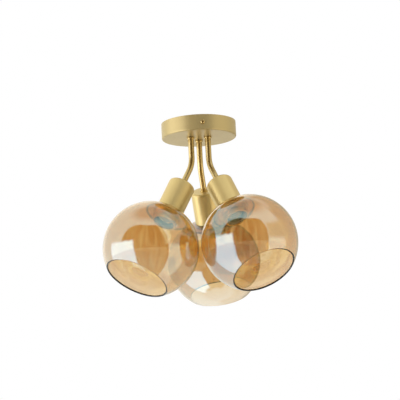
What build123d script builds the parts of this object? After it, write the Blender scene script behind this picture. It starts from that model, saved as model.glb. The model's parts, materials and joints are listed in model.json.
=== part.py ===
from build123d import *

import os
from math import asin, atan2, copysign, cos, degrees, hypot, radians, sin, sqrt, tan

# A semi flush ceiling light: a round canopy on a ceiling bracket, and three bent tubes
# that turn in it, each with a cup, a screw lampholder and an open globe shade.
# Millimetres. The origin is the middle of the canopy on the ceiling, +Z is up, and one
# canopy screw faces -Y. Azimuths turn from +Y towards +X, in degrees.

# The arms: where each collar sits on the canopy, and where its arm points
collar_azimuths = {"left": -115.0, "right": 125.0, "rear": 5.0}
arm_azimuths = {"left": -118.5, "right": 145.5, "rear": 17.5}

# Canopy
canopy_diameter = 120.0
canopy_height = 25.0
canopy_sheet = 1.0
canopy_edge_radius = 2.0
collar_circle_diameter = 31.5

# Ceiling bracket
bracket_width = 20.0
bracket_thickness = 1.5
bracket_bend_radius = 3.0
bracket_wall_gap = 1.2
ear_floor_gap = 5.0
slot_length = 18.0
slot_width = 5.0
slot_end_gap = 10.8
tab_width = 22.0
tab_margin = 2.0

# Canopy screws, by their height above the underside of the canopy
screw_rise = 12.5
screw_diameter = 4.0
screw_length = 9.0
screw_head_diameter = 7.0
screw_head_height = 2.6
screw_head_round = 2.2
screw_recess_width = 1.0
screw_recess_length = 3.6
screw_recess_depth = 1.2

# Terminal block on the bracket's tab, its screws and the earth screw
block_standoff = 10.5
block_height = 9.0
block_round = 1.0
pole_count = 3
pole_spacing = 8.0
pole_row_spacing = 7.5
pole_edge = 3.25
clamp_screw_diameter = 3.4
clamp_screw_length = 3.0
screw_slot_width = 0.6
screw_slot_depth = 0.6
block_screw_diameter = 3.0
block_screw_head_diameter = 5.0
block_screw_head_height = 1.8
earth_screw_offset = 4.0
earth_head_diameter = 8.0
earth_head_height = 1.8

# Arm tube: inside the canopy, straight down, round the bend, and on to the cup
tube_diameter = 9.5
tube_wall = 1.0
tube_stub = 7.5
tube_drop = 32.5
tube_bend_radius = 45.0
tube_lean = 27.7
tube_end_recess = 0.6

# Rings, washers and nuts on the tube
collar_diameter = 12.5
collar_height = 3.0
collar_round = 0.8
washer_diameter = 18.0
washer_thickness = 1.0
nut_width = 14.0
nut_height = 4.0
cup_collar_diameter = 13.0
cup_collar_height = 2.0
cup_collar_round = 0.6

# Lampholder for a 27 mm screw cap, from its screw shell outwards
shell_bore_diameter = 26.7
shell_wall = 0.45
shell_length = 22.4
shell_contact_gap = 1.0
liner_wall = 4.5
liner_length = 35.2
liner_flare = 2.4
skirt_wall = 1.2
skirt_turn_in = 1.5
skirt_end = 0.8
skirt_overlap = 4.0
skirt_lip = 2.0
thread_pitch = 2.5
thread_crest = 0.6
thread_depth = 0.5
thread_turns = 8
insert_height = 14.0
insert_gap = 0.4
cap_step = 0.6
cap_wall = 2.6
cap_top = 3.0
cap_round = 2.5
cap_wiring_room = 9.0
cap_boss_diameter = 16.0
cap_boss_length = 5.0
holder_nut_gap = 7.6
contact_width = 6.0
contact_span = 15.0
contact_crown_span = 5.0
contact_rise = 4.0
contact_thickness = 0.5
contact_foot = 0.8

# Cup over the lampholder
cup_wall = 1.0
cup_rim_overlap = 0.2
cup_shoulder_radius = 3.6
skirt_projection = 21.6

# Glass shade, and the ring that holds it up
shade_diameter = 151.0
shade_wall = 2.5
shade_hole_gap = 0.7
shade_mouth_diameter = 101.4
shade_mouth_round = 1.1
shade_hole_round = 0.6
shade_spacing = 3.6
ring_grip_wall = 2.8
ring_lip = 3.5
ring_flange = 2.5
ring_height = 8.5
ring_round = 0.5

# Leads
lead_diameter = 4.5
lead_bend_radius = 6.0
lead_entry_radius = 4.0
lead_straight = 2.0

# Clearances: where a piece turns, where it slips on, and beside glass
turn_gap = 0.08
slip_gap = 0.05
glass_gap = 0.3
screw_hole_gap = 0.25

# Radii that follow
canopy_radius = canopy_diameter / 2
canopy_inner_radius = canopy_radius - canopy_sheet
collar_circle_radius = collar_circle_diameter / 2
tube_radius = tube_diameter / 2
lead_radius = lead_diameter / 2
shell_bore_radius = shell_bore_diameter / 2
shell_radius = shell_bore_radius + shell_wall
liner_inner_radius = shell_radius + slip_gap
liner_radius = liner_inner_radius + liner_wall
skirt_inner_radius = liner_radius + slip_gap
skirt_radius = skirt_inner_radius + skirt_wall
holder_cap_radius = skirt_radius - cap_step
insert_radius = holder_cap_radius - cap_wall - insert_gap
shade_radius = shade_diameter / 2
shade_inner_radius = shade_radius - shade_wall
shade_hole_radius = skirt_radius + shade_hole_gap
cup_inner_radius = shade_hole_radius + cup_rim_overlap
cup_radius = cup_inner_radius + cup_wall
ring_bore_radius = skirt_radius + turn_gap
ring_grip_radius = ring_bore_radius + ring_grip_wall
ring_radius = ring_grip_radius + ring_lip

# Depths along the lampholder, below the top of its cup
holder_cap_depth = cup_wall + nut_height + holder_nut_gap
boss_end_depth = holder_cap_depth + cap_top + cap_boss_length
insert_depth = holder_cap_depth + cap_top + cap_wiring_room
liner_depth = insert_depth + insert_height
skirt_depth = liner_depth - skirt_overlap
shell_depth = liner_depth + contact_rise + shell_contact_gap
liner_end_depth = liner_depth + liner_length
holder_depth = liner_end_depth + skirt_end
cup_length = holder_depth - skirt_projection
shade_depth = cup_length + glass_gap + sqrt(shade_radius**2 - cup_inner_radius**2)
shade_mouth_depth = shade_depth + sqrt(shade_radius**2 - (shade_mouth_diameter / 2) ** 2)
ring_depth = shade_depth - sqrt(shade_inner_radius**2 - ring_radius**2) + glass_gap

# Places under the ceiling
ear_face = canopy_inner_radius - bracket_wall_gap
ear_end = -canopy_height + canopy_sheet + ear_floor_gap
screw_level = -canopy_height + screw_rise
slot_middle = ear_face - slot_end_gap - slot_length / 2
block_length = pole_count * pole_spacing
block_width = pole_row_spacing + 2 * pole_edge
block_near = collar_circle_radius + block_standoff
block_middle = block_near + block_width / 2
tab_end = block_near + block_width + tab_margin
block_underside = -bracket_thickness - block_height
lead_level = -bracket_thickness - block_height / 2
lead_entries = {"left": 0.0, "right": -pole_spacing, "rear": pole_spacing}


def compass(azimuth):
    """The level direction of an azimuth."""
    return Vector(sin(radians(azimuth)), cos(radians(azimuth)), 0)


def shade_reach():
    """How far out from its collar a shade's middle is, so that left and right stay shade_spacing apart."""
    apart = (compass(collar_azimuths["left"]) - compass(collar_azimuths["right"])) * collar_circle_radius
    spread = compass(arm_azimuths["left"]) - compass(arm_azimuths["right"])
    square = spread.dot(spread)
    half = apart.dot(spread)
    rest = apart.dot(apart) - (shade_diameter + shade_spacing) ** 2
    return (-half + sqrt(half**2 - square * rest)) / square


def lean_angle():
    """The bend of a tube, in degrees, that brings its shade out to its reach."""
    straight = tube_lean + shade_depth
    inward = shade_reach() - tube_bend_radius
    return degrees(asin(inward / hypot(straight, tube_bend_radius)) + atan2(tube_bend_radius, straight))


arm_tilt = lean_angle()
corner_reach = tube_bend_radius * tan(radians(arm_tilt / 2))


def lean_point(distance):
    """A point of the leaning middle line in an arm's plane, by its distance past the bend's corner."""
    tilt = radians(arm_tilt)
    return distance * sin(tilt), -tube_drop - corner_reach - distance * cos(tilt)


class Arm:
    """The planes and axes of one arm, which its pieces are made in."""

    def __init__(self, side):
        self.side = side
        outward = compass(arm_azimuths[side])
        self.collar = compass(collar_azimuths[side]) * collar_circle_radius - Vector(0, 0, canopy_height)
        # x runs the way the arm points and y up, from the underside of the canopy
        self.bend_plane = Plane(self.collar, x_dir=outward, z_dir=outward.cross(Vector(0, 0, 1)))
        # x runs out from the lampholder's axis and y up along it, from the top of the cup
        cup_place = Location((*lean_point(corner_reach + tube_lean), 0), (0, 0, arm_tilt))
        self.holder_plane = Plane(self.bend_plane.location * cup_place)
        self.holder_axis = Axis(self.holder_plane.origin, self.holder_plane.y_dir)

    def level(self, height):
        """The level plane through the collar's axis at a height above the canopy's underside."""
        return Plane(self.collar + Vector(0, 0, height))

    def across(self, depth):
        """The plane square to the lampholder's axis at a depth below the cup's top, facing up the axis."""
        middle = self.holder_plane.origin - self.holder_plane.y_dir * depth
        return Plane(middle, x_dir=self.holder_plane.x_dir, z_dir=self.holder_plane.y_dir)


def band(inner_radius, outer_radius, low, high, mode=Mode.ADD):
    """Half the section of a plain ring: x is its radius and y runs along its axis."""
    with Locations(((inner_radius + outer_radius) / 2, (low + high) / 2)):
        Rectangle(outer_radius - inner_radius, high - low, mode=mode)


def drawn_cup(radius, closed_end, open_end, sheet, corner_radius):
    """The outline of half a cup drawn from sheet, closed at one end with a rounded corner."""
    inner_end = closed_end + copysign(sheet, open_end - closed_end)
    FilletPolyline(
        (0, closed_end),
        (radius, closed_end),
        (radius, open_end),
        (radius - sheet, open_end),
        (radius - sheet, inner_end),
        (0, inner_end),
        radius=[0, corner_radius, 0, 0, corner_radius - sheet, 0],
        close=True,
    )


def arm_route(upper_end, cup_depth):
    """The middle line of an arm, from a height above the canopy's underside to a depth in the cup."""
    lower_end = lean_point(corner_reach + tube_lean + cup_depth)
    FilletPolyline((0, upper_end), lean_point(0), lower_end, radius=tube_bend_radius)


def write(piece, name):
    """Label a finished piece and write its file."""
    piece.part.label = name
    export_step(piece.part, f"parts/{name}.step")


os.makedirs("parts", exist_ok=True)
arms = [Arm(side) for side in arm_azimuths]

# The fixed part


with BuildPart() as ceiling_bracket:
    with BuildSketch(Plane.YZ):
        with BuildLine():
            FilletPolyline(
                (-ear_face, ear_end),
                (-ear_face, 0),
                (ear_face, 0),
                (ear_face, ear_end),
                (ear_face - bracket_thickness, ear_end),
                (ear_face - bracket_thickness, -bracket_thickness),
                (bracket_thickness - ear_face, -bracket_thickness),
                (bracket_thickness - ear_face, ear_end),
                radius=[
                    0,
                    bracket_bend_radius,
                    bracket_bend_radius,
                    0,
                    0,
                    bracket_bend_radius - bracket_thickness,
                    bracket_bend_radius - bracket_thickness,
                    0,
                ],
                close=True,
            )
        make_face()
    extrude(amount=bracket_width / 2, both=True)
    with BuildSketch():
        with Locations((tab_end / 2, 0)):
            Rectangle(tab_end, tab_width)
    extrude(amount=-bracket_thickness)
    with BuildSketch():
        with Locations((0, slot_middle), (0, -slot_middle)):
            SlotOverall(slot_length, slot_width, rotation=90)
        with Locations((block_middle, pole_spacing / 2), (block_middle, -pole_spacing / 2)):
            Circle(block_screw_diameter / 2 + slip_gap)
        with Locations((0, earth_screw_offset)):
            Circle(screw_diameter / 2 + slip_gap)
    extrude(amount=-bracket_thickness, mode=Mode.SUBTRACT)
    with BuildSketch(Plane.XZ):
        with Locations((0, screw_level)):
            Circle(screw_diameter / 2 + slip_gap)
    extrude(amount=canopy_radius, both=True, mode=Mode.SUBTRACT)
write(ceiling_bracket, "ceiling_bracket")


with BuildPart() as canopy:
    with BuildSketch(Plane.XZ):
        with BuildLine():
            drawn_cup(canopy_radius, -canopy_height, 0, canopy_sheet, canopy_edge_radius)
        make_face()
    revolve(axis=Axis.Z)
    with BuildSketch(*[arm.level(0) for arm in arms]):
        Circle(tube_radius + turn_gap)
    extrude(amount=canopy_sheet, mode=Mode.SUBTRACT)
    with BuildSketch(Plane.XZ):
        with Locations((0, screw_level)):
            Circle(screw_diameter / 2 + screw_hole_gap)
    extrude(amount=canopy_radius, both=True, mode=Mode.SUBTRACT)
write(canopy, "canopy")


with BuildPart() as canopy_screws:
    screw_section = Plane((0, -canopy_radius, screw_level), x_dir=(0, 0, 1), z_dir=(1, 0, 0))
    with BuildSketch(screw_section) as half_screw:
        band(0, screw_head_diameter / 2, 0, screw_head_height)
        fillet(half_screw.vertices().group_by(Axis.Y)[-1].sort_by(Axis.X)[-1], screw_head_round)
        band(0, screw_diameter / 2, -screw_length, 0)
    revolve(axis=Axis(screw_section.origin, screw_section.y_dir))
    with BuildSketch(Plane.XZ.offset(canopy_radius + screw_head_height)):
        with Locations((0, screw_level)):
            Rectangle(screw_recess_length, screw_recess_width)
            Rectangle(screw_recess_width, screw_recess_length)
    extrude(amount=-screw_recess_depth, mode=Mode.SUBTRACT)
    mirror(about=Plane.XZ)
write(canopy_screws, "canopy_screws")


block_sole = Plane((block_middle, 0, block_underside))

with BuildPart() as terminal_block:
    with BuildSketch(block_sole):
        RectangleRounded(block_width, block_length, block_round)
        with GridLocations(0, pole_spacing, 1, 2):
            Circle(block_screw_diameter / 2 + slip_gap, mode=Mode.SUBTRACT)
    extrude(amount=block_height)
    with BuildSketch(block_sole):
        with GridLocations(pole_row_spacing, pole_spacing, 2, pole_count):
            Circle(clamp_screw_diameter / 2 + slip_gap)
    extrude(amount=clamp_screw_length, mode=Mode.SUBTRACT)
write(terminal_block, "terminal_block")


with BuildPart() as clamp_screws:
    with BuildSketch(block_sole):
        with GridLocations(pole_row_spacing, pole_spacing, 2, pole_count):
            Circle(clamp_screw_diameter / 2)
    extrude(amount=clamp_screw_length)
    with BuildSketch(block_sole):
        with GridLocations(pole_row_spacing, pole_spacing, 2, pole_count):
            Rectangle(clamp_screw_diameter, screw_slot_width)
    extrude(amount=screw_slot_depth, mode=Mode.SUBTRACT)
write(clamp_screws, "clamp_screws")


with BuildPart() as block_screws:
    with BuildSketch(block_sole):
        with GridLocations(0, pole_spacing, 1, 2):
            Circle(block_screw_diameter / 2)
    extrude(amount=block_height + bracket_thickness)
    with BuildSketch(block_sole):
        with GridLocations(0, pole_spacing, 1, 2):
            Circle(block_screw_head_diameter / 2)
    extrude(amount=-block_screw_head_height)
write(block_screws, "block_screws")


with BuildPart() as earth_screw:
    with BuildSketch(Plane.XY.offset(-bracket_thickness)):
        with Locations((0, earth_screw_offset)):
            Circle(earth_head_diameter / 2)
    extrude(amount=-earth_head_height)
    with BuildSketch(Plane.XY.offset(-bracket_thickness)):
        with Locations((0, earth_screw_offset)):
            Circle(screw_diameter / 2)
    extrude(amount=bracket_thickness)
write(earth_screw, "earth_screw")


with BuildPart() as block_leads:
    for arm in arms:
        stub_top = arm.collar + Vector(0, 0, tube_stub)
        entry = Vector(block_near, lead_entries[arm.side], lead_level)
        with BuildLine() as route:
            FilletPolyline(
                stub_top,
                Vector(stub_top.X, stub_top.Y, lead_level),
                entry - Vector(lead_straight, 0, 0),
                entry,
                radius=[lead_bend_radius, lead_entry_radius],
            )
        with BuildSketch(Plane(stub_top)):
            Circle(lead_radius)
        sweep()
write(block_leads, "block_leads")


# The pieces of each arm


def arm_tube(arm):
    """The bent tube, threaded at both ends."""
    with BuildPart() as tube:
        with BuildLine(arm.bend_plane):
            arm_route(tube_stub, boss_end_depth - tube_end_recess)
        with BuildSketch(arm.level(tube_stub)):
            Circle(tube_radius)
            Circle(tube_radius - tube_wall, mode=Mode.SUBTRACT)
        sweep()
    return tube


def tube_collar(arm):
    """The ring on the tube that bears on the canopy from below."""
    with BuildPart() as collar:
        with BuildSketch(arm.bend_plane) as section:
            band(tube_radius + slip_gap, collar_diameter / 2, -collar_height, 0)
            fillet(section.vertices().group_by(Axis.X)[-1], collar_round)
        revolve(axis=Axis(arm.collar, (0, 0, 1)))
    return collar


def tube_washer(arm):
    """The washer under the tube's nut, on the canopy's floor."""
    with BuildPart() as washer:
        with BuildSketch(arm.level(canopy_sheet)):
            Circle(washer_diameter / 2)
            Circle(tube_radius + slip_gap, mode=Mode.SUBTRACT)
        extrude(amount=washer_thickness)
    return washer


def hex_nut(plane):
    """A nut on the tube's thread, standing on a plane."""
    with BuildPart() as nut:
        with BuildSketch(plane):
            RegularPolygon(nut_width / 2, 6, major_radius=False)
            Circle(tube_radius + slip_gap, mode=Mode.SUBTRACT)
        extrude(amount=nut_height)
    return nut


def tube_nut(arm):
    """The nut that clamps the tube in the canopy."""
    return hex_nut(arm.level(canopy_sheet + washer_thickness))


def cup_collar(arm):
    """The small ring on the tube above the cup."""
    with BuildPart() as collar:
        with BuildSketch(arm.holder_plane) as section:
            band(tube_radius + slip_gap, cup_collar_diameter / 2, 0, cup_collar_height)
            fillet(section.vertices().group_by(Axis.X)[-1].sort_by(Axis.Y)[-1], cup_collar_round)
        revolve(axis=arm.holder_axis)
    return collar


def lamp_cup(arm):
    """The drawn cup that hides the lampholder."""
    with BuildPart() as cup:
        with BuildSketch(arm.holder_plane):
            with BuildLine():
                drawn_cup(cup_radius, 0, -cup_length, cup_wall, cup_shoulder_radius)
            make_face()
            band(0, tube_radius + slip_gap, -cup_wall, 0, mode=Mode.SUBTRACT)
        revolve(axis=arm.holder_axis)
    return cup


def cup_nut(arm):
    """The nut inside the cup that clamps it against its collar."""
    return hex_nut(arm.across(cup_wall + nut_height))


def holder_cap(arm):
    """The lampholder's cap, screwed on the end of the tube."""
    with BuildPart() as cap:
        with BuildSketch(arm.holder_plane) as section:
            band(0, holder_cap_radius, -skirt_depth, -holder_cap_depth)
            fillet(section.vertices().group_by(Axis.Y)[-1].sort_by(Axis.X)[-1], cap_round)
            cavity_top = holder_cap_depth + cap_top
            band(0, holder_cap_radius - cap_wall, -skirt_depth, -cavity_top, mode=Mode.SUBTRACT)
            band(0, cap_boss_diameter / 2, -boss_end_depth, -cavity_top)
            band(0, tube_radius + slip_gap, -boss_end_depth, -holder_cap_depth, mode=Mode.SUBTRACT)
        revolve(axis=arm.holder_axis)
    return cap


def holder_insert(arm):
    """The ceramic disc that carries the contacts."""
    with BuildPart() as insert:
        with BuildSketch(arm.holder_plane):
            band(0, insert_radius, -liner_depth, -insert_depth)
        revolve(axis=arm.holder_axis)
    return insert


def centre_contact(arm):
    """The sprung strip under the insert that meets the lamp's tip."""
    with BuildPart() as contact:
        with BuildSketch(arm.holder_plane):
            foot_end = contact_span / 2
            crown_end = contact_crown_span / 2
            crown = -liner_depth - contact_rise
            with BuildLine():
                Polyline(
                    (-foot_end, -liner_depth),
                    (-crown_end, crown),
                    (crown_end, crown),
                    (foot_end, -liner_depth),
                    (foot_end - contact_foot, -liner_depth),
                    (crown_end - contact_thickness, crown + contact_thickness),
                    (contact_thickness - crown_end, crown + contact_thickness),
                    (contact_foot - foot_end, -liner_depth),
                    close=True,
                )
            make_face()
        extrude(amount=contact_width / 2, both=True)
    return contact


def holder_liner(arm):
    """The insulating ring inside the skirt, flared at its mouth."""
    with BuildPart() as liner:
        with BuildSketch(arm.holder_plane) as section:
            band(liner_inner_radius, liner_radius, -liner_end_depth, -liner_depth)
            chamfer(section.vertices().group_by(Axis.Y)[0].sort_by(Axis.X)[0], liner_flare)
        revolve(axis=arm.holder_axis)
    return liner


def screw_shell(arm):
    """The metal shell that the lamp's screw cap goes into."""
    with BuildPart() as shell:
        with BuildSketch(arm.holder_plane):
            band(shell_bore_radius, shell_radius, -shell_depth - shell_length, -shell_depth)
        revolve(axis=arm.holder_axis)
    return shell


def holder_skirt(arm):
    """The skirt round the lampholder, turned in under the liner, with the rounds of its outer thread."""
    with BuildPart() as skirt:
        with BuildSketch(arm.holder_plane):
            band(skirt_inner_radius, skirt_radius, -holder_depth, -skirt_depth)
            band(skirt_inner_radius - skirt_turn_in, skirt_radius, -holder_depth, -liner_end_depth)
            for turn in range(thread_turns):
                groove = skirt_lip - holder_depth + turn * thread_pitch
                with BuildLine():
                    Polyline(
                        (skirt_radius, groove + thread_crest),
                        (skirt_radius, groove + thread_pitch),
                        (skirt_radius - thread_depth, groove + (thread_crest + thread_pitch) / 2),
                        close=True,
                    )
                make_face(mode=Mode.SUBTRACT)
        revolve(axis=arm.holder_axis)
    return skirt


def tube_lead(arm):
    """The lead that runs down the tube to the insert."""
    with BuildPart() as lead:
        with BuildLine(arm.bend_plane):
            arm_route(tube_stub, insert_depth)
        with BuildSketch(arm.level(tube_stub)):
            Circle(lead_radius)
        sweep()
    return lead


def glass_shade(arm):
    """The blown globe, open below, with a hole for the skirt above."""
    with BuildPart() as shade:
        with BuildSketch(arm.holder_plane) as section:
            with Locations((0, -shade_depth)):
                Circle(shade_radius)
                Circle(shade_inner_radius, mode=Mode.SUBTRACT)
            band(
                shade_hole_radius, shade_radius, -shade_mouth_depth, shade_radius - shade_depth, Mode.INTERSECT
            )
            fillet(section.vertices().group_by(Axis.Y)[0], shade_mouth_round)
            fillet(section.vertices().group_by(Axis.X)[0], shade_hole_round)
        revolve(axis=arm.holder_axis)
    return shade


def shade_ring(arm):
    """The ring that screws up the skirt and holds the shade."""
    with BuildPart() as ring:
        with BuildSketch(arm.holder_plane) as section:
            band(ring_bore_radius, ring_radius, -ring_depth - ring_flange, -ring_depth)
            fillet(section.vertices().group_by(Axis.X)[-1], ring_round)
            band(ring_bore_radius, ring_grip_radius, -ring_depth - ring_height, -ring_depth)
            fillet(section.vertices().group_by(Axis.Y)[0].sort_by(Axis.X)[-1], ring_round)
        revolve(axis=arm.holder_axis)
    return ring


arm_pieces = [
    arm_tube,
    tube_collar,
    tube_washer,
    tube_nut,
    cup_collar,
    lamp_cup,
    cup_nut,
    holder_cap,
    holder_insert,
    centre_contact,
    holder_liner,
    screw_shell,
    holder_skirt,
    tube_lead,
    glass_shade,
    shade_ring,
]

for arm in arms:
    for make_piece in arm_pieces:
        write(make_piece(arm), f"{make_piece.__name__}_{arm.side}")
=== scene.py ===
import json
from math import atan2, cos, pi, radians, sin, sqrt

import bpy
from mathutils import Matrix, Vector


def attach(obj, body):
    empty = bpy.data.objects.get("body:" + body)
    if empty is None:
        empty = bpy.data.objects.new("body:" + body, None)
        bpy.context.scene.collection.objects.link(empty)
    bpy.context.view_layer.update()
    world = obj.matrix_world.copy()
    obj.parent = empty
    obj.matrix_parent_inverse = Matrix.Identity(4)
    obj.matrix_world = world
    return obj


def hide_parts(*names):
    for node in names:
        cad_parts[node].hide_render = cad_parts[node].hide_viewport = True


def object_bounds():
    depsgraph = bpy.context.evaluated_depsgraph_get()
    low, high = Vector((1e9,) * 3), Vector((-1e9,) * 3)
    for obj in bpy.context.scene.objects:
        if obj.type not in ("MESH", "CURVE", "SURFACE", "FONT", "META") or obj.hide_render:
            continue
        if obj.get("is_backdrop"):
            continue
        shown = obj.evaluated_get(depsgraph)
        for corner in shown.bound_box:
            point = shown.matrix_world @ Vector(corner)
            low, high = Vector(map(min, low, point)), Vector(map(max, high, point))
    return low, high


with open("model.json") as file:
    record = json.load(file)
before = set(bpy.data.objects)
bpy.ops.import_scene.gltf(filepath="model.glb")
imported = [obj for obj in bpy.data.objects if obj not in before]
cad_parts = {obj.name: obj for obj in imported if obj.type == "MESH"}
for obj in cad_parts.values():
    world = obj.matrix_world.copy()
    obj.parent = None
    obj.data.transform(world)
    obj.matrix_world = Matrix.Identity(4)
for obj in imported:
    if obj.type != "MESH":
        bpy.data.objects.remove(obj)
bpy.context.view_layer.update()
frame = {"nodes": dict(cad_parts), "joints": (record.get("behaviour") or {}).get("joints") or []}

bl_info = {
    "name": "Semi Flush Ceiling Light",
    "version": (1, 0, 0),
    "blender": (4, 5, 0),
    "location": "3D View > Sidebar > Ceiling Light",
    "description": "Finishes a brass ceiling light with three lustre glass globes, and sets up its studio",
    "category": "Object",
}

SIDES = ("left", "right", "rear")
MM = 0.001
UP = Vector((0, 0, 1))


# What the metal and the glass mirror: a pale wall all round, and cards on it. Each card is its least and
# greatest azimuth, its least and greatest elevation and the half width of its soft edge, all in degrees, and
# its linear colour. Azimuth is 0 on the camera's side and plus to the right. A later card lies over an
# earlier one.

WALL = (1.10, 1.08, 1.04, 1.0)
ROOM_CARDS = (
    (88, 175, -60, 60, 8, (0.62, 0.56, 0.46)),
    (40, 92, -62, 4, 6, (1.50, 1.30, 1.05)),
    (44, 110, 4, 34, 6, (0.72, 0.62, 0.44)),
    (-200, 200, 66, 95, 12, (0.50, 0.47, 0.44)),
    (-200, 200, -95, -62, 8, (0.80, 0.78, 0.76)),
)
SOFT_BOX = (-108, -40, -70, 14, 4, (2.40, 2.35, 2.50))

# The unlit side of the room behind the camera, arched at the top, in degrees and a linear colour that streaks
# from black to a few times itself.

ARCH_MIDDLE = -14
ARCH_HALF_WIDTH = 59
ARCH_TOP = 51
ARCH_FOOT = -76
ARCH_COLOUR = (0.10, 0.07, 0.03)
ARCH_BRIGHTEST = 4.2

# How far the edges of the room wander, against a direction of length 1, and how often.

WANDER = 0.16
WANDER_SCALE = 2.2

# The photograph's width, that the camera's focal length is measured by.

IMAGE_PIXELS = 400

# The glow with which the floor, as the camera sees it, meets the white of the room, and half its side.

FLOOR_GLOW = 0.16
FLOOR_HALF = 14.0


# Where things are, read from the frame


def joint_of(name):
    """A joint of the frame."""
    return next(joint for joint in frame["joints"] if joint["name"] == name)


class Holder:
    """The axis of one lampholder: a point on it, the way out of the mouth, and two directions across."""

    def __init__(self, side):
        joint = joint_of(f"ring_turn_{side}")
        self.side = side
        self.start = Vector(joint["pos_m"])
        self.out = Vector(joint["axis"]).normalized()
        self.across = self.out.cross(UP).normalized()
        self.along = self.out.cross(self.across)

    def point(self, radius, depth, angle):
        """A point by its distance from the axis, its depth past the start and its angle round the axis."""
        turned = self.across * cos(angle) + self.along * sin(angle)
        return self.start + self.out * depth + turned * radius

    def reach(self, node):
        """The least and greatest depth, and the least and greatest radius, of a CAD node round this axis."""
        depths, radii = [], []
        for vertex in frame["nodes"][node].data.vertices:
            offset = vertex.co - self.start
            depth = offset.dot(self.out)
            depths.append(depth)
            radii.append((offset - self.out * depth).length)
        return min(depths), max(depths), min(radii), max(radii)


HOLDERS = {side: Holder(side) for side in SIDES}


# Sizes and colours that a user may change


def length(name, description, default):
    """A size in metres."""
    return bpy.props.FloatProperty(
        name=name, description=description, default=default, min=0.0, unit="LENGTH", precision=5
    )


def colour(name, description, default):
    """A linear colour."""
    return bpy.props.FloatVectorProperty(
        name=name, description=description, default=default, size=3, min=0.0, max=1.0, subtype="COLOR"
    )


def share(name, description, default):
    """A number from 0 to 1."""
    return bpy.props.FloatProperty(
        name=name, description=description, default=default, min=0.0, max=1.0, subtype="FACTOR"
    )


class BrassFinish(bpy.types.PropertyGroup):
    """The look of the brass."""

    satin: colour("Satin brass", "Colour of the cups", (0.74, 0.58, 0.25))
    # Painted shade: the canopy's colour is the cups' satin brass made darker, standing in for the dimmer
    # light that the canopy mirrors.
    shaded_copy: colour("Spun brass", "Colour of the canopy", (0.56, 0.445, 0.205))
    bright: colour("Bright brass", "Colour of the shade rings and the skirts", (0.95, 0.80, 0.42))
    satin_metallic: share("Satin metallic", "How much of the lacquered brass mirrors as bare metal", 0.72)
    # The canopy's lower metallic belongs to the same painted shade.
    shaded_copy_metallic: share("Spun metallic", "The same for the canopy", 0.60)
    polished: colour("Polished brass", "Colour of the tubes and their collars", (0.66, 0.52, 0.24))
    tarnish: colour("Tarnish", "Colour of the brass where it has dulled", (0.62, 0.47, 0.22))
    satin_roughness: share("Satin roughness", "How far the satin brass spreads a highlight", 0.36)
    polished_roughness: share("Polished roughness", "How far the tubes spread a highlight", 0.26)
    grain_pitch: length("Grain pitch", "Distance between the lines that the lathe left", 0.00022)
    grain_height: length("Grain height", "Height of those lines", 0.000004)


class GlassFinish(bpy.types.PropertyGroup):
    """The look and the edges of the globes."""

    tint: colour("Tint", "Colour of the light that one wall lets through", (0.80, 0.60, 0.29))
    thin_tint: colour("Thin tint", "The same near the mouth, where the lustre is thinner", (0.85, 0.73, 0.52))
    # Painted reflection: inside the moulded line round the cup the tint is darker, standing in for what the
    # globe's top mirrors there.
    reflected_tint: colour(
        "Thick tint", "The same round the cup, where the lustre is thicker", (0.64, 0.42, 0.19)
    )
    rim_tint: colour("Rim tint", "The same at the rim and the upper hole", (0.78, 0.60, 0.34))
    lustre: colour("Lustre", "Colour of what the glass mirrors", (0.45, 0.82, 0.96))
    lustre_index: bpy.props.FloatProperty(
        name="Lustre index",
        description="Refractive index that gives the lustre's mirroring",
        default=2.9,
        min=1.0,
    )
    shoulder: length("Shoulder", "Radius of the moulded line round the cup", 0.0352)
    wall: length("Wall", "Thickness of the globe's wall", 0.0025)
    mouth_diameter: length("Mouth diameter", "Outer diameter of the open rim", 0.1014)
    mouth_round: length("Mouth rounding", "Radius of the rim's two edges", 0.0011)
    hole_round: length("Hole rounding", "Radius of the upper hole's two edges", 0.0006)


class ThreadSizes(bpy.types.PropertyGroup):
    """The threads of the lampholders."""

    pitch: length("Skirt pitch", "Rise of the skirt's thread in one turn", 0.0025)
    depth: length("Skirt thread depth", "How deep the skirt's thread is cut", 0.0005)
    shell_pitch: length("Shell pitch", "Rise of the screw shell's rolled thread in one turn", 0.0036)
    shell_depth: length("Shell thread depth", "How far the rolled thread stands in", 0.0011)


class FittingColours(bpy.types.PropertyGroup):
    """The colours of what isn't brass or glass."""

    zinc: colour("Zinc", "Zinc plated steel", (0.62, 0.62, 0.60))
    nickel: colour("Nickel", "The screw shells", (0.80, 0.79, 0.77))
    contact: colour("Contact", "The sprung contacts", (0.80, 0.60, 0.24))
    ceramic: colour("Ceramic", "The discs that carry the contacts", (0.88, 0.87, 0.84))
    liner: colour("Liner", "The insulating rings in the skirts", (0.82, 0.81, 0.78))
    cap: colour("Cap", "The lampholders' caps", (0.022, 0.022, 0.023))
    block: colour("Terminal block", "The terminal block", (0.78, 0.77, 0.73))
    sheath: colour("Sheath", "The sheath of the leads", (0.72, 0.69, 0.60))


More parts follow.
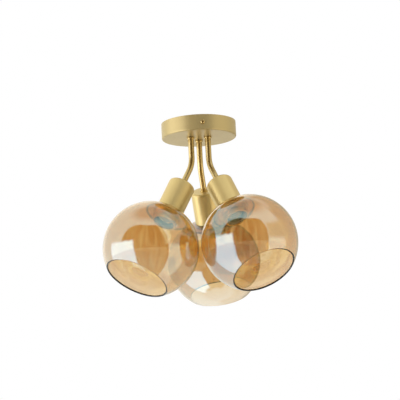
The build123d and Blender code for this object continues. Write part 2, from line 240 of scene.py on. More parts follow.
class StudioSettings(bpy.types.PropertyGroup):
    """The camera, the lights and the floor."""

    camera_place: bpy.props.FloatVectorProperty(
        name="Camera",
        description="Where the camera stands",
        default=(-0.3254, -2.8248, -0.7043),
        unit="LENGTH",
    )
    camera_turn: bpy.props.FloatProperty(
        name="Turn",
        description="How far the camera looks to the right of +Y",
        default=radians(6.499),
        unit="ROTATION",
    )
    camera_rise: bpy.props.FloatProperty(
        name="Rise", description="How far the camera looks up", default=radians(11.487), unit="ROTATION"
    )
    camera_roll: bpy.props.FloatProperty(
        name="Roll", description="How far the camera is rolled", default=radians(-2.885), unit="ROTATION"
    )
    focal_pixels: bpy.props.FloatProperty(
        name="Focal length", description="Focal length in pixels of a 400 pixel wide image", default=1812.8
    )
    floor_level: bpy.props.FloatProperty(
        name="Floor", description="Height of the floor", default=-1.6, unit="LENGTH"
    )
    floor_colour: colour("Floor colour", "Colour of the floor", (0.86, 0.86, 0.86))
    daylight: bpy.props.FloatProperty(
        name="Daylight", description="Brightness of the soft light from all round", default=0.90, min=0.0
    )


# Meshes


def revolved(name, profile, holder, segments=192, second=()):
    """A mesh turned round a holder's axis.

    The profile is a closed list of (radius, depth), or a function of angle that gives one. The rows named in
    second take the mesh's second material.
    """
    outline = profile if callable(profile) else lambda angle: profile
    vertices, faces = [], []
    rows = len(outline(0.0))
    for column in range(segments):
        angle = 2 * pi * column / segments
        vertices += [holder.point(radius, depth, angle) for radius, depth in outline(angle)]
    for column in range(segments):
        here, there = column * rows, (column + 1) % segments * rows
        for row in range(rows):
            above = (row + 1) % rows
            faces.append((here + row, there + row, there + above, here + above))
    mesh = bpy.data.meshes.new(name)
    mesh.from_pydata(vertices, [], faces)
    mesh.polygons.foreach_set("material_index", [int(row in second) for row in range(rows)] * segments)
    mesh.update()
    mesh.shade_smooth()
    made = bpy.data.objects.new(name, mesh)
    bpy.context.scene.collection.objects.link(made)
    return made


def arc(centre, radius, start, end, steps):
    """Points of an arc in a profile. Angles turn from the radius direction towards the depth direction."""
    turns = [start + (end - start) * step / steps for step in range(steps + 1)]
    return [(centre[0] + radius * cos(turn), centre[1] + radius * sin(turn)) for turn in turns]


# Shader nodes


def place(tree, kind, inputs=(), **settings):
    """Add a node with its settings, and set or link its inputs by name or number."""
    made = tree.nodes.new(kind)
    for name, value in settings.items():
        setattr(made, name, value)
    for name, value in dict(inputs).items():
        if isinstance(value, bpy.types.NodeSocket):
            tree.links.new(value, made.inputs[name])
        else:
            made.inputs[name].default_value = value
    return made


def maths(tree, operation, *values):
    """The result of a Math node."""
    return place(tree, "ShaderNodeMath", enumerate(values), operation=operation).outputs[0]


def vector_maths(tree, operation, *values):
    """A Vector Math node."""
    return place(tree, "ShaderNodeVectorMath", enumerate(values), operation=operation)


def spread(tree, value, low, high, new_low, new_high):
    """A value mapped smoothly from one range to another."""
    inputs = {"Value": value, "From Min": low, "From Max": high, "To Min": new_low, "To Max": new_high}
    return place(tree, "ShaderNodeMapRange", inputs, interpolation_type="SMOOTHSTEP").outputs[0]


def mixed(tree, factor, first, second):
    """Two colours mixed by a factor."""
    made = place(tree, "ShaderNodeMix", {0: factor}, data_type="RGBA")
    for number, value in ((6, first), (7, second)):
        if isinstance(value, bpy.types.NodeSocket):
            tree.links.new(value, made.inputs[number])
        else:
            made.inputs[number].default_value = value
    return made.outputs[2]


def new_group(name, inputs, outputs):
    """An empty node group with its sockets, and its input and output nodes."""
    tree = bpy.data.node_groups.new(name, "ShaderNodeTree")
    for in_out, sockets in (("INPUT", inputs), ("OUTPUT", outputs)):
        for socket_name, kind in sockets.items():
            tree.interface.new_socket(socket_name, in_out=in_out, socket_type=f"NodeSocket{kind}")
    return tree, tree.nodes.new("NodeGroupInput").outputs, tree.nodes.new("NodeGroupOutput").inputs


def object_place(tree):
    """The surface's place in the row frame."""
    return tree.nodes.new("ShaderNodeTexCoord").outputs["Object"]


def around_axis(tree, given):
    """The surface's offset from a group's Centre, its depth along the Axis, and its distance from that."""
    offset = vector_maths(tree, "SUBTRACT", object_place(tree), given["Centre"]).outputs[0]
    depth = vector_maths(tree, "DOT_PRODUCT", offset, given["Axis"]).outputs["Value"]
    across = vector_maths(tree, "CROSS_PRODUCT", offset, given["Axis"]).outputs[0]
    return offset, depth, vector_maths(tree, "LENGTH", across).outputs["Value"]


def noise(tree, spot, scale, detail):
    """A noise from 0 to 1."""
    inputs = {"Vector": spot, "Scale": scale, "Detail": detail}
    return place(tree, "ShaderNodeTexNoise", inputs).outputs[0]


def turned_grain():
    """Lines left by turning about an axis: a height, and a roughness round a middle value."""
    if "Turned grain" in bpy.data.node_groups:
        return bpy.data.node_groups["Turned grain"]
    tree, given, result = new_group(
        "Turned grain",
        {"Centre": "Vector", "Axis": "Vector", "Pitch": "Float", "Roughness": "Float", "Swing": "Float"},
        {"Height": "Float", "Roughness": "Float"},
    )
    wide_share = 0.06  # how often the wide lines come for each fine one
    wide_height = 0.7
    cloud_scale = 45.0
    offset, depth, reach = around_axis(tree, given)
    lines = maths(tree, "DIVIDE", maths(tree, "ADD", depth, reach), given["Pitch"])
    fine = place(
        tree,
        "ShaderNodeTexNoise",
        {"Vector": offset, "W": lines, "Scale": 1.0, "Detail": 3.0, "Roughness": 0.6},
        noise_dimensions="4D",
    ).outputs[0]
    wide = place(
        tree,
        "ShaderNodeTexNoise",
        {"Vector": offset, "W": maths(tree, "MULTIPLY", lines, wide_share), "Scale": 1.0, "Detail": 2.0},
        noise_dimensions="4D",
    ).outputs[0]
    cloud = noise(tree, offset, cloud_scale, 3.0)
    uneven = maths(tree, "ADD", maths(tree, "MULTIPLY", wide, 0.5), maths(tree, "MULTIPLY", cloud, 0.5))
    change = maths(tree, "MULTIPLY", maths(tree, "SUBTRACT", uneven, 0.5), given["Swing"])
    tree.links.new(maths(tree, "ADD", fine, maths(tree, "MULTIPLY", wide, wide_height)), result["Height"])
    tree.links.new(maths(tree, "ADD", given["Roughness"], change), result["Roughness"])
    return tree


def tarnish():
    """A clean colour that dulls in clouds and small specks."""
    if "Tarnish" in bpy.data.node_groups:
        return bpy.data.node_groups["Tarnish"]
    tree, given, result = new_group(
        "Tarnish",
        {"Clean": "Color", "Dull": "Color", "Amount": "Float", "Size": "Float"},
        {"Colour": "Color"},
    )
    spot = object_place(tree)
    size = maths(tree, "DIVIDE", 1.0, given["Size"])
    specks_per_cloud = 30.0
    cloud = noise(tree, spot, size, 4.0)
    speck = noise(tree, spot, maths(tree, "MULTIPLY", size, specks_per_cloud), 2.0)
    clouds = spread(tree, cloud, 0.42, 0.75, 0.0, 0.7)
    specks = spread(tree, speck, 0.64, 0.76, 0.0, 0.5)
    mask = maths(tree, "MULTIPLY", maths(tree, "ADD", clouds, specks), given["Amount"])
    tree.links.new(mixed(tree, mask, given["Clean"], given["Dull"]), result["Colour"])
    return tree


def moulded_skin():
    """The fine uneven skin of moulded or fired pieces: a colour, a height and a roughness."""
    if "Moulded skin" in bpy.data.node_groups:
        return bpy.data.node_groups["Moulded skin"]
    tree, given, result = new_group(
        "Moulded skin",
        {"Colour": "Color", "Size": "Float", "Contrast": "Float", "Roughness": "Float"},
        {"Colour": "Color", "Height": "Float", "Roughness": "Float"},
    )
    spot = object_place(tree)
    size = maths(tree, "DIVIDE", 1.0, given["Size"])
    stain_share = 0.04  # how often a stain comes for each grain of the skin
    skin_swing = 0.3
    skin = noise(tree, spot, size, 5.0)
    stain = noise(tree, spot, maths(tree, "MULTIPLY", size, stain_share), 3.0)
    shade = maths(tree, "SUBTRACT", 1.0, maths(tree, "MULTIPLY", stain, given["Contrast"]))
    dimmed = vector_maths(tree, "SCALE", given["Colour"])
    tree.links.new(shade, dimmed.inputs["Scale"])
    tree.links.new(dimmed.outputs[0], result["Colour"])
    tree.links.new(skin, result["Height"])
    change = maths(tree, "MULTIPLY", maths(tree, "SUBTRACT", skin, 0.5), skin_swing)
    tree.links.new(maths(tree, "ADD", given["Roughness"], change), result["Roughness"])
    return tree


def lustre_skin():
    """The colour that a lustre lets through: uneven, darker inside a circle as a painted reflection, with a
    painted shadow line along that circle.
    """
    if "Lustre skin" in bpy.data.node_groups:
        return bpy.data.node_groups["Lustre skin"]
    tree, given, result = new_group(
        "Lustre skin",
        {
            "Centre": "Vector",
            "Axis": "Vector",
            "Tint": "Color",
            "Thin": "Color",
            "Thick": "Color",
            "Shoulder": "Float",
            "Middle": "Float",
        },
        {"Colour": "Color"},
    )
    offset, depth, reach = around_axis(tree, given)
    thinned_by = 52 * MM  # how far below the middle the lustre is at its thinnest
    shade_line_strength = 0.85
    # The dark line along the moulded line is painted shadow.
    shade_line_colour = (0.10, 0.05, 0.02, 1.0)
    cloud_scale = 22.0
    cloud_strength = 0.14
    past = maths(tree, "SUBTRACT", reach, given["Shoulder"])
    drop = maths(tree, "SUBTRACT", depth, given["Middle"])
    upper = spread(tree, drop, -1.0 * MM, 1.0 * MM, 1.0, 0.0)
    lower = spread(tree, drop, 0.0, thinned_by, 0.0, 1.0)
    # The moulded line is real. The darker tint inside it is a painted reflection of the globe's top round the
    # cup.
    inside = maths(tree, "MULTIPLY", spread(tree, past, -0.6 * MM, 0.6 * MM, 1.0, 0.0), upper)
    near = spread(tree, maths(tree, "ABSOLUTE", past), 0.4 * MM, 1.4 * MM, shade_line_strength, 0.0)
    line = maths(tree, "MULTIPLY", near, upper)
    cloud = noise(tree, offset, cloud_scale, 3.0)
    uneven = spread(tree, cloud, 0.40, 0.75, 0.0, cloud_strength)
    even = mixed(tree, lower, given["Tint"], given["Thin"])
    colour = mixed(tree, maths(tree, "MAXIMUM", inside, uneven), even, given["Thick"])
    tree.links.new(mixed(tree, line, colour, shade_line_colour), result["Colour"])
    return tree


def grouped(tree, group, **inputs):
    """A node group placed in a material with its own values."""
    made = tree.nodes.new("ShaderNodeGroup")
    made.node_tree = group
    for name, value in inputs.items():
        if isinstance(value, bpy.types.NodeSocket):
            tree.links.new(value, made.inputs[name])
        else:
            made.inputs[name].default_value = value
    return made.outputs


def opaque(rgb):
    """A colour with its alpha."""
    return (*rgb, 1.0)


def finished(name, build):
    """A material with one shader, made once. build(tree) gives the shader's inputs."""
    if name in bpy.data.materials:
        return bpy.data.materials[name]
    material = bpy.data.materials.new(name)
    material.use_nodes = True
    tree = material.node_tree
    tree.nodes.clear()
    shader = place(tree, "ShaderNodeBsdfPrincipled", build(tree))
    place(tree, "ShaderNodeOutputMaterial", {"Surface": shader.outputs[0]})
    return material


def bumped(tree, height, distance):
    """A normal from a height."""
    inputs = {"Height": height, "Distance": distance, "Strength": 1.0}
    return place(tree, "ShaderNodeBump", inputs).outputs["Normal"]


# Materials


def satin_brass(name, centre, axis, shaded_copy=False):
    """Lacquered brass with the fine rings that the lathe left round an axis."""
    brass = bpy.context.scene.brass_finish
    # For the canopy this takes the darker, less metallic copy of the satin brass, which is painted shade.
    clean = brass.shaded_copy if shaded_copy else brass.satin
    metallic = brass.shaded_copy_metallic if shaded_copy else brass.satin_metallic

    def build(tree):
        grain = grouped(
            tree,
            turned_grain(),
            Centre=centre,
            Axis=axis,
            Pitch=brass.grain_pitch,
            Roughness=brass.satin_roughness,
            Swing=0.16,
        )
        skin = grouped(
            tree, tarnish(), Clean=opaque(clean), Dull=opaque(brass.tarnish), Amount=0.20, Size=0.035
        )
        return {
            "Base Color": skin["Colour"],
            "Metallic": metallic,
            "Specular IOR Level": 0.1,
            "Roughness": grain["Roughness"],
            "Normal": bumped(tree, grain["Height"], brass.grain_height),
        }

    return finished(name, build)


def polished_brass(name, centre, axis, bright=False):
    """Bright drawn brass with faint rings and a soft waviness."""
    brass = bpy.context.scene.brass_finish
    clean = brass.bright if bright else brass.polished

    def build(tree):
        grain = grouped(
            tree,
            turned_grain(),
            Centre=centre,
            Axis=axis,
            Pitch=brass.grain_pitch * 2,
            Roughness=brass.polished_roughness,
            Swing=0.06,
        )
        skin = grouped(
            tree, tarnish(), Clean=opaque(clean), Dull=opaque(brass.tarnish), Amount=0.25, Size=0.04
        )
        return {
            "Base Color": skin["Colour"],
            "Metallic": 1.0,
            "Roughness": grain["Roughness"],
            "Normal": bumped(tree, grain["Height"], brass.grain_height * 0.12),
        }

    return finished(name, build)


def lustre_glass(name, centre, axis, middle):
    """Amber glass with a thin mirror lustre, and a painted reflection that darkens it inside the moulded line
    round the cup.
    """
    glass = bpy.context.scene.glass_finish

    def build(tree):
        skin = grouped(
            tree,
            lustre_skin(),
            Centre=centre,
            Axis=axis,
            Tint=opaque(glass.tint),
            Thin=opaque(glass.thin_tint),
            Thick=opaque(glass.reflected_tint),
            Shoulder=glass.shoulder,
            Middle=middle,
        )
        return {
            "Base Color": skin["Colour"],
            "Metallic": 0.0,
            "Roughness": 0.0,
            "Transmission Weight": 1.0,
            "IOR": glass.lustre_index,
            "Specular Tint": opaque(glass.lustre),
        }

    return finished(name, build)


def rim_glass():
    """The bare amber glass of the ground rim and hole."""
    glass = bpy.context.scene.glass_finish

    def build(tree):
        skin = grouped(
            tree, moulded_skin(), Colour=opaque(glass.rim_tint), Size=0.002, Contrast=0.15, Roughness=0.12
        )
        return {
            "Base Color": skin["Colour"],
            "Metallic": 0.0,
            "Roughness": skin["Roughness"],
            "Transmission Weight": 1.0,
            "IOR": 1.5,
        }

    return finished("rim glass", build)


def metal(name, clean, dull, roughness, size):
    """Plated or plain metal with clouds and specks of dullness."""

    def build(tree):
        coat = grouped(tree, tarnish(), Clean=opaque(clean), Dull=opaque(dull), Amount=0.8, Size=size)
        skin = grouped(
            tree, moulded_skin(), Colour=opaque(clean), Size=size * 0.03, Contrast=0.0, Roughness=roughness
        )
        return {
            "Base Color": coat["Colour"],
            "Metallic": 1.0,
            "Roughness": skin["Roughness"],
            "Normal": bumped(tree, skin["Height"], 0.00001),
        }

    return finished(name, build)


def moulded(name, rgb, roughness, contrast=0.25, size=0.0006, height=0.00002):
    """A moulded or fired piece with a fine skin."""

    def build(tree):
        skin = grouped(
            tree, moulded_skin(), Colour=opaque(rgb), Size=size, Contrast=contrast, Roughness=roughness
        )
        return {
            "Base Color": skin["Colour"],
            "Roughness": skin["Roughness"],
            "Normal": bumped(tree, skin["Height"], height),
        }

    return finished(name, build)


def dulled(rgb, share_left):
    """A darker shade of a colour."""
    return [part * share_left for part in rgb]


def zinc_plate(context):
    """The zinc plated steel of the bracket, the screws, the washers and the nuts."""
    zinc = context.scene.fitting_colours.zinc
    return metal("zinc plate", zinc, dulled(zinc, 0.7), roughness=0.38, size=0.012)


def lead_sheath(context):
    """The sheath of all the leads."""
    return moulded("lead sheath", context.scene.fitting_colours.sheath, 0.42)


def finish_node(node, material):
    """Give a CAD node its material."""
    slots = frame["nodes"][node].data.materials
    slots.clear()
    slots.append(material)


def stand_for(made, node, materials, body):
    """A new piece that stands for a CAD node."""
    for material in materials:
        made.data.materials.append(material)
    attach(made, body)
    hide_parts(node)


# The pieces


class BuildCanopy(bpy.types.Operator):
    """Finish the canopy and its screws"""

    bl_idname = "ceiling_light.build_canopy"
    bl_label = "Canopy"

    def execute(self, context):
        origin = Vector((0, 0, 0))
        # The canopy takes the darker copy of the satin brass: painted shade.
        finish_node("canopy", satin_brass("canopy brass", origin, UP, shaded_copy=True))
        finish_node("canopy_screws", polished_brass("screw brass", origin, Vector((0, 1, 0))))
        return {"FINISHED"}


class BuildCeilingFixing(bpy.types.Operator):
    """Finish the bracket, the terminal block, their screws and the leads inside the canopy"""

    bl_idname = "ceiling_light.build_ceiling_fixing"
    bl_label = "Bracket and terminals"

    def execute(self, context):
        fitting = context.scene.fitting_colours
        for node in ("ceiling_bracket", "block_screws", "earth_screw", "clamp_screws"):
            finish_node(node, zinc_plate(context))
        finish_node("terminal_block", moulded("block plastic", fitting.block, 0.45))
        finish_node("block_leads", lead_sheath(context))
        return {"FINISHED"}


class BuildTubes(bpy.types.Operator):
    """Finish the bent tubes, their collars, washers and nuts, and the leads in them"""

    bl_idname = "ceiling_light.build_tubes"
    bl_label = "Tubes"

    def execute(self, context):
        for side in SIDES:
            joint = joint_of(f"arm_swivel_{side}")
            brass = polished_brass(f"tube brass {side}", Vector(joint["pos_m"]), UP)
            finish_node(f"arm_tube_{side}", brass)
            finish_node(f"tube_collar_{side}", brass)
            finish_node(f"tube_washer_{side}", zinc_plate(context))
            finish_node(f"tube_nut_{side}", zinc_plate(context))
            finish_node(f"tube_lead_{side}", lead_sheath(context))
        return {"FINISHED"}


class BuildCups(bpy.types.Operator):
    """Finish the cups, their collars and the nuts inside them"""

    bl_idname = "ceiling_light.build_cups"
    bl_label = "Cups"

    def execute(self, context):
        for side, holder in HOLDERS.items():
            axis = holder.start, holder.out
            finish_node(f"lamp_cup_{side}", satin_brass(f"cup brass {side}", *axis))
            finish_node(f"cup_collar_{side}", polished_brass(f"collar brass {side}", *axis))
            finish_node(f"cup_nut_{side}", zinc_plate(context))
        return {"FINISHED"}


class BuildLampholders(bpy.types.Operator):
    """Finish the lampholders, with the skirts' cut threads and the shells' rolled threads"""

    bl_idname = "ceiling_light.build_lampholders"
    bl_label = "Lampholders"

    def execute(self, context):
        fitting = context.scene.fitting_colours
        nickel = metal("nickel shell", fitting.nickel, dulled(fitting.nickel, 0.75), 0.24, 0.008)
        contact = metal("contact brass", fitting.contact, dulled(fitting.contact, 0.6), 0.25, 0.006)
        ceramic = moulded("ceramic", fitting.ceramic, 0.55, contrast=0.2, size=0.0004)
        liner = moulded("liner plastic", fitting.liner, 0.35)
        cap = moulded("cap plastic", fitting.cap, 0.4)
        for side, holder in HOLDERS.items():
            finish_node(f"holder_cap_{side}", cap)
            finish_node(f"holder_insert_{side}", ceramic)
            finish_node(f"centre_contact_{side}", contact)
            finish_node(f"holder_liner_{side}", liner)
            brass = polished_brass(f"skirt brass {side}", holder.start, holder.out, bright=True)
            skirt, shell = self.skirt(context, holder), self.shell(context, holder)
            stand_for(skirt, f"holder_skirt_{side}", [brass], f"arm_{side}")
            stand_for(shell, f"screw_shell_{side}", [nickel], f"arm_{side}")
        return {"FINISHED"}

    def skirt(self, context, holder):
        """The skirt with its outer thread as a helix that runs out at both ends, and its end turned in."""
        thread = context.scene.thread_sizes
        top, bottom, inner, outer = holder.reach(f"holder_skirt_{holder.side}")
        end_sheet = 0.8 * MM
        wall = 1.2 * MM
        lip = 2.0 * MM  # plain below the thread, and as long as the thread's run out
        threaded = 20.0 * MM
        steps = 176

        def outline(angle):
            rows = []
            for step in range(steps + 1):
                depth = top + (bottom - top) * step / steps
                from_lip = bottom - lip - depth
                wave = (1 - cos(2 * pi * from_lip / thread.pitch - angle)) / 2
                fade = min(1.0, max(0.0, from_lip / lip), max(0.0, (threaded - from_lip) / lip))
                rows.append((outer - thread.depth * wave * max(0.0, fade), depth))
            inside = [(inner, bottom), (inner, bottom - end_sheet), (outer - wall, bottom - end_sheet)]
            return rows + inside + [(outer - wall, top)]

        made = revolved(f"skirt_{holder.side}", outline, holder, segments=128)
        made.data.set_sharp_from_angle(angle=radians(40))
        return made

    def shell(self, context, holder):
        """The screw shell with its rolled thread, a closed sheet."""
        thread = context.scene.thread_sizes
        top, bottom, inner, outer = holder.reach(f"screw_shell_{holder.side}")
        sheet = outer - inner
        run_out = 2.0 * MM
        steps = 96

        def outline(angle):
            outside = []
            for step in range(steps + 1):
                depth = top + (bottom - top) * step / steps
                wave = (1 - cos(2 * pi * (depth - top) / thread.shell_pitch - angle)) / 2
                fade = min(1.0, (bottom - depth) / run_out)
                outside.append((outer - thread.shell_depth * wave * fade, depth))
            return outside + [(radius - sheet, depth) for radius, depth in reversed(outside)]

        made = revolved(f"shell_{holder.side}", outline, holder, segments=96)
        made.data.set_sharp_from_angle(angle=radians(60))
        return made


class BuildShades(bpy.types.Operator):
    """Blow the glass globes, with rounded edges at the mouth and the upper hole"""

    bl_idname = "ceiling_light.build_shades"
    bl_label = "Glass globes"

    def execute(self, context):
        for side, holder in HOLDERS.items():
            glass = context.scene.glass_finish
            _, mouth, hole, outer = holder.reach(f"glass_shade_{side}")
            middle = mouth - sqrt(outer**2 - (glass.mouth_diameter / 2) ** 2)
            made = self.globe(glass, holder, hole, outer, middle, mouth - middle)
            lustre = lustre_glass(f"lustre glass {side}", holder.start, holder.out, middle)
            glasses = [lustre, rim_glass()]
            stand_for(made, f"glass_shade_{side}", glasses, f"shade_{side}")
        return {"FINISHED"}

    def globe(self, glass, holder, hole, outer, middle, drop):
        """A globe round its middle, with its mouth at a drop below that.

        Its rim and hole take the second material.
        """
        inner = outer - glass.wall
        rim, lip = glass.mouth_round, glass.hole_round
        rim_level = drop - rim
        rim_outer = (sqrt((outer - rim) ** 2 - rim_level**2), rim_level)
        rim_inner = (sqrt((inner + rim) ** 2 - rim_level**2), rim_level)
        neck = hole + lip
        hole_outer = (neck, -sqrt((outer - lip) ** 2 - neck**2))
        hole_inner = (neck, -sqrt((inner + lip) ** 2 - neck**2))

        def slope(point):
            return atan2(point[1], point[0])

        profile = arc((0, 0), outer, slope(hole_outer), slope(rim_outer), 96)
        rim_starts = len(profile) - 1
        profile += arc(rim_outer, rim, slope(rim_outer), pi / 2, 8)[1:]
        profile += arc(rim_inner, rim, pi / 2, pi + slope(rim_inner), 8)
        rim_ends = len(profile) - 1
        profile += arc((0, 0), inner, slope(rim_inner), slope(hole_inner), 96)[1:]
        hole_starts = len(profile) - 1
        profile += arc(hole_inner, lip, pi + slope(hole_inner), pi, 5)[1:]
        profile += arc(hole_outer, lip, pi, 2 * pi + slope(hole_outer), 5)[:-1]
        ground = {*range(rim_starts, rim_ends), *range(hole_starts, len(profile))}
        placed = [(radius, depth + middle) for radius, depth in profile]
        return revolved(f"globe_{holder.side}", placed, holder, segments=224, second=ground)


class BuildShadeRings(bpy.types.Operator):
    """Finish the rings that hold the globes"""

    bl_idname = "ceiling_light.build_shade_rings"
    bl_label = "Shade rings"

    def execute(self, context):
        for side, holder in HOLDERS.items():
            brass = polished_brass(f"skirt brass {side}", holder.start, holder.out, bright=True)
            finish_node(f"shade_ring_{side}", brass)
        return {"FINISHED"}


class BuildStudio(bpy.types.Operator):
    """Set up the camera, the floor, the lights and the pale room"""

    bl_idname = "ceiling_light.build_studio"
    bl_label = "Studio"

    def execute(self, context):
        context.scene.view_settings.view_transform = "Standard"
        self.camera(context)
        self.floor(context)
        self.lamps(context)
        self.room(context)
        return {"FINISHED"}

    def camera(self, context):
        """A camera that stands and looks as the photograph's did."""
        studio = context.scene.studio
        turn, rise, roll = studio.camera_turn, studio.camera_rise, studio.camera_roll
        ahead = Vector((sin(turn) * cos(rise), cos(turn) * cos(rise), sin(rise)))
        level = Vector((cos(turn), -sin(turn), 0))
        upward = level.cross(ahead)
        right = level * cos(roll) + upward * sin(roll)
        top = upward * cos(roll) - level * sin(roll)
        lens = bpy.data.cameras.new("camera")
        lens.sensor_width = 36.0
        lens.lens = studio.focal_pixels * lens.sensor_width / IMAGE_PIXELS
        lens.clip_start, lens.clip_end = 0.05, 50.0
        made = bpy.data.objects.new("camera", lens)
        turned = Matrix((right, top, -ahead)).transposed().to_4x4()
        made.matrix_world = Matrix.Translation(studio.camera_place) @ turned
        context.scene.collection.objects.link(made)
        context.scene.camera = made

    def floor(self, context):
        """A plain pale floor that keeps the light's shadow and meets the pale room."""
        studio = context.scene.studio
        ends = ((-1, -1), (1, -1), (1, 1), (-1, 1))
        corners = [(x * FLOOR_HALF, y * FLOOR_HALF, studio.floor_level) for x, y in ends]
        mesh = bpy.data.meshes.new("floor")
        mesh.from_pydata(corners, [], [(0, 1, 2, 3)])
        made = bpy.data.objects.new("floor", mesh)
        context.scene.collection.objects.link(made)

        def build(tree):
            seen = tree.nodes.new("ShaderNodeLightPath").outputs["Is Camera Ray"]
            glow = maths(tree, "MULTIPLY", seen, FLOOR_GLOW)
            return {
                "Base Color": opaque(studio.floor_colour),
                "Roughness": 0.9,
                "Emission Color": (1.0, 1.0, 1.0, 1.0),
                "Emission Strength": glow,
            }

        mesh.materials.append(finished("floor paint", build))
        made.visible_glossy = False
        made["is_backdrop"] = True

    def lamps(self, context):
        """Soft lamps that light the matt pieces and give the floor its shadow."""
        low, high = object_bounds()
        middle = (low + high) / 2
        boxes = {
            # name: azimuth and elevation in degrees, distance, width and height in metres, power in watts
            "lamp left": (-70, 10, 2.4, 1.8, 1.6, 16),
            "lamp above": (15, 70, 2.4, 2.2, 2.2, 18),
            "lamp right": (80, 15, 2.6, 1.2, 2.0, 6),
        }
        for name, (azimuth, elevation, distance, width, height, power) in boxes.items():
            way = self.way(context, azimuth, elevation)
            lamp = bpy.data.lights.new(name, "AREA")
            lamp.shape = "RECTANGLE"
            lamp.size, lamp.size_y = width, height
            lamp.energy = power
            made = bpy.data.objects.new(name, lamp)
            made.location = middle + way * distance
            made.rotation_mode = "QUATERNION"
            made.rotation_quaternion = way.to_track_quat("Z", "Y")
            made.visible_camera = False
            made.visible_glossy = False
            made.visible_transmission = False
            context.scene.collection.objects.link(made)

    def way(self, context, azimuth, elevation):
        """The direction from the light to a place in the room, from the camera's side and level."""
        turned = context.scene.studio.camera_turn + pi - radians(azimuth)
        high = radians(elevation)
        return Vector((sin(turned) * cos(high), cos(turned) * cos(high), sin(high)))

    def spot(self, context, tree, way):
        """The azimuth and the elevation of a direction, in degrees."""
        ahead = vector_maths(tree, "DOT_PRODUCT", way, self.way(context, 0, 0)).outputs["Value"]
        aside = vector_maths(tree, "DOT_PRODUCT", way, self.way(context, 90, 0)).outputs["Value"]
        height = vector_maths(tree, "DOT_PRODUCT", way, UP).outputs["Value"]
        length = vector_maths(tree, "LENGTH", way).outputs["Value"]
        rise = maths(tree, "ARCSINE", maths(tree, "DIVIDE", height, length))
        return maths(tree, "DEGREES", maths(tree, "ARCTAN2", aside, ahead)), maths(tree, "DEGREES", rise)

    def with_card(self, tree, azimuth, elevation, colour, card):
        """The room's colour with a card over it."""
        left, right, low, high, soft, rgb = card
        across = maths(
            tree,
            "MULTIPLY",
            spread(tree, azimuth, left - soft, left + soft, 0.0, 1.0),
            spread(tree, azimuth, right - soft, right + soft, 1.0, 0.0),
        )
        upward = maths(
            tree,
            "MULTIPLY",
            spread(tree, elevation, low - soft, low + soft, 0.0, 1.0),
            spread(tree, elevation, high - soft, high + soft, 1.0, 0.0),
        )
        return mixed(tree, maths(tree, "MULTIPLY", across, upward), colour, opaque(rgb))

    def with_arch(self, tree, azimuth, elevation, colour):
        """The room's colour with the dark arch over it: a plain foot, a round top and upright streaks."""
        aside = maths(tree, "ABSOLUTE", maths(tree, "SUBTRACT", azimuth, ARCH_MIDDLE))
        aside = maths(tree, "DIVIDE", aside, ARCH_HALF_WIDTH)
        upward = maths(tree, "DIVIDE", maths(tree, "MAXIMUM", elevation, 0.0), ARCH_TOP)
        cubes = [maths(tree, "POWER", way_out, 3.0) for way_out in (aside, upward)]
        out = maths(tree, "SQRT", maths(tree, "ADD", *cubes))
        arch = maths(
            tree,
            "MULTIPLY",
            spread(tree, out, 0.92, 1.06, 1.0, 0.0),
            spread(tree, elevation, ARCH_FOOT - 4, ARCH_FOOT + 4, 0.0, 1.0),
        )
        streaked = place(
            tree,
            "ShaderNodeCombineXYZ",
            {0: maths(tree, "MULTIPLY", azimuth, 0.11), 1: maths(tree, "MULTIPLY", elevation, 0.012)},
        ).outputs[0]
        streak = noise(tree, streaked, 1.0, 3.0)
        streaks = vector_maths(tree, "SCALE", ARCH_COLOUR)
        tree.links.new(spread(tree, streak, 0.36, 0.68, 0.0, ARCH_BRIGHTEST), streaks.inputs["Scale"])
        return mixed(tree, arch, colour, streaks.outputs[0])

    def room(self, context):
        """A pale room all round, white where it is looked at.

        Whatever a ray meets after it has been mirrored is the wall with its cards, the arch and the soft box.
        """
        studio = context.scene.studio
        world = bpy.data.worlds.new("room")
        world.use_nodes = True
        tree = world.node_tree
        tree.nodes.clear()
        way = tree.nodes.new("ShaderNodeTexCoord").outputs["Generated"]
        wander = place(
            tree, "ShaderNodeTexNoise", {"Vector": way, "Scale": WANDER_SCALE, "Detail": 2.0}
        ).outputs["Color"]
        shifted = vector_maths(tree, "SUBTRACT", wander, (0.5, 0.5, 0.5)).outputs[0]
        shift = vector_maths(tree, "MULTIPLY", shifted, (WANDER, WANDER, WANDER)).outputs[0]
        azimuth, elevation = self.spot(context, tree, vector_maths(tree, "ADD", way, shift).outputs[0])
        colour = WALL
        for card in ROOM_CARDS:
            colour = self.with_card(tree, azimuth, elevation, colour, card)
        colour = self.with_arch(tree, azimuth, elevation, colour)
        colour = self.with_card(tree, azimuth, elevation, colour, SOFT_BOX)
        path = tree.nodes.new("ShaderNodeLightPath").outputs
        plain = mixed(
            tree,
            maths(tree, "MAXIMUM", path["Is Camera Ray"], path["Is Transmission Ray"]),
            opaque([studio.daylight] * 3),
            (1.0, 1.0, 1.0, 1.0),
        )
        light = mixed(tree, maths(tree, "GREATER_THAN", path["Glossy Depth"], 0.5), plain, colour)
        back = place(tree, "ShaderNodeBackground", {"Color": light, "Strength": 1.0})
        place(tree, "ShaderNodeOutputWorld", {"Surface": back.outputs[0]})
        context.scene.world = world


STEPS = (
    BuildCanopy,
    BuildCeilingFixing,
    BuildTubes,
    BuildCups,
    BuildLampholders,
    BuildShades,
    BuildShadeRings,
    BuildStudio,
)


class CeilingLightPanel(bpy.types.Panel):
    """The ceiling light's steps and settings"""

    bl_idname = "VIEW3D_PT_ceiling_light"
    bl_label = "Ceiling Light"
    bl_space_type = "VIEW_3D"
    bl_region_type = "UI"
    bl_category = "Ceiling Light"

    def draw(self, context):
        for step in STEPS:
            self.layout.operator(step.bl_idname)
        for name in SETTINGS:
            settings = getattr(context.scene, name)
            box = self.layout.box()
            for prop in settings.bl_rna.properties:
                if not prop.is_readonly and prop.identifier != "name":
                    box.prop(settings, prop.identifier)


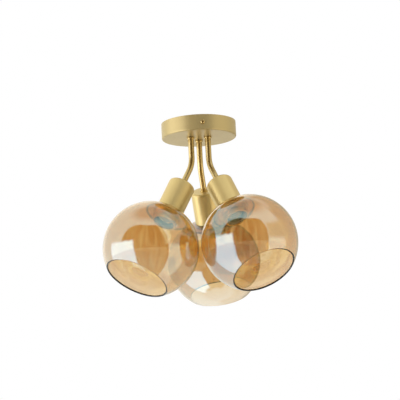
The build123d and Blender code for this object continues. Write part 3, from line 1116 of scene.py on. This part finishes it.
SETTINGS = {
    "brass_finish": BrassFinish,
    "glass_finish": GlassFinish,
    "thread_sizes": ThreadSizes,
    "fitting_colours": FittingColours,
    "studio": StudioSettings,
}


def register():
    """Register the classes and hang the settings on the scene."""
    for cls in (*SETTINGS.values(), *STEPS, CeilingLightPanel):
        bpy.utils.register_class(cls)
    for name, cls in SETTINGS.items():
        setattr(bpy.types.Scene, name, bpy.props.PointerProperty(type=cls))


def unregister():
    """Take the settings off the scene and unregister the classes."""
    for name in SETTINGS:
        delattr(bpy.types.Scene, name)
    for cls in reversed((*SETTINGS.values(), *STEPS, CeilingLightPanel)):
        bpy.utils.unregister_class(cls)


def main():
    """Build every piece and the studio."""
    register()
    for step in STEPS:
        group, name = step.bl_idname.split(".")
        getattr(getattr(bpy.ops, group), name)()


if __name__ == "__main__":
    main()
